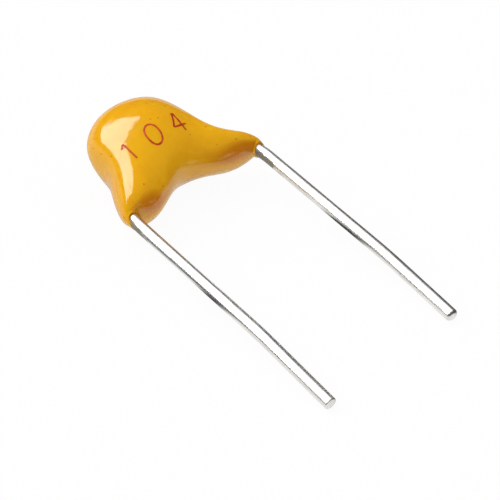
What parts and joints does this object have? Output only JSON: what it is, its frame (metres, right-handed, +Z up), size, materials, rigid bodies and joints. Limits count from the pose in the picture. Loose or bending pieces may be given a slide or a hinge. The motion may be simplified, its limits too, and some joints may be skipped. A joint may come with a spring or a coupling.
{
  "type": "multilayer ceramic capacitor",
  "caption": "Radial leaded multilayer ceramic capacitor: a glossy dipped coat with a round head and flared legs, on slim tinned wires.",
  "frame": {"origin": "centre of the bounding box's bottom face, on the ground that the part lies on", "axes": "+Z up, with the marked face up; the wires point to -Y and the head of the coat lies at +Y; the pitch of the wires runs along X"},
  "size_m": [0.0056, 0.0128, 0.0027],
  "materials": {
    "epoxy": "glossy dipped epoxy, amber yellow, with a few tiny pits",
    "ceramic": "fired grey-brown dielectric",
    "electrode": "thin fired nickel film",
    "termination": "fired silver paste, matt",
    "plating": "satin tin over nickel",
    "solder": "smooth solder",
    "tinned_wire": "bright tinned, with fine drawn lines"
  },
  "bodies": {
    "root": {"epoxy_coat": "epoxy", "ceramic_body": "ceramic", "electrode_1": "electrode", "electrode_2": "electrode", "electrode_3": "electrode", "electrode_4": "electrode", "electrode_5": "electrode", "electrode_6": "electrode", "electrode_7": "electrode", "electrode_8": "electrode", "electrode_9": "electrode", "electrode_10": "electrode", "left_termination": "termination", "right_termination": "termination", "left_plating": "plating", "right_plating": "plating", "left_solder": "solder", "right_solder": "solder", "left_lead": "tinned_wire", "right_lead": "tinned_wire"}
  },
  "joints": []
}
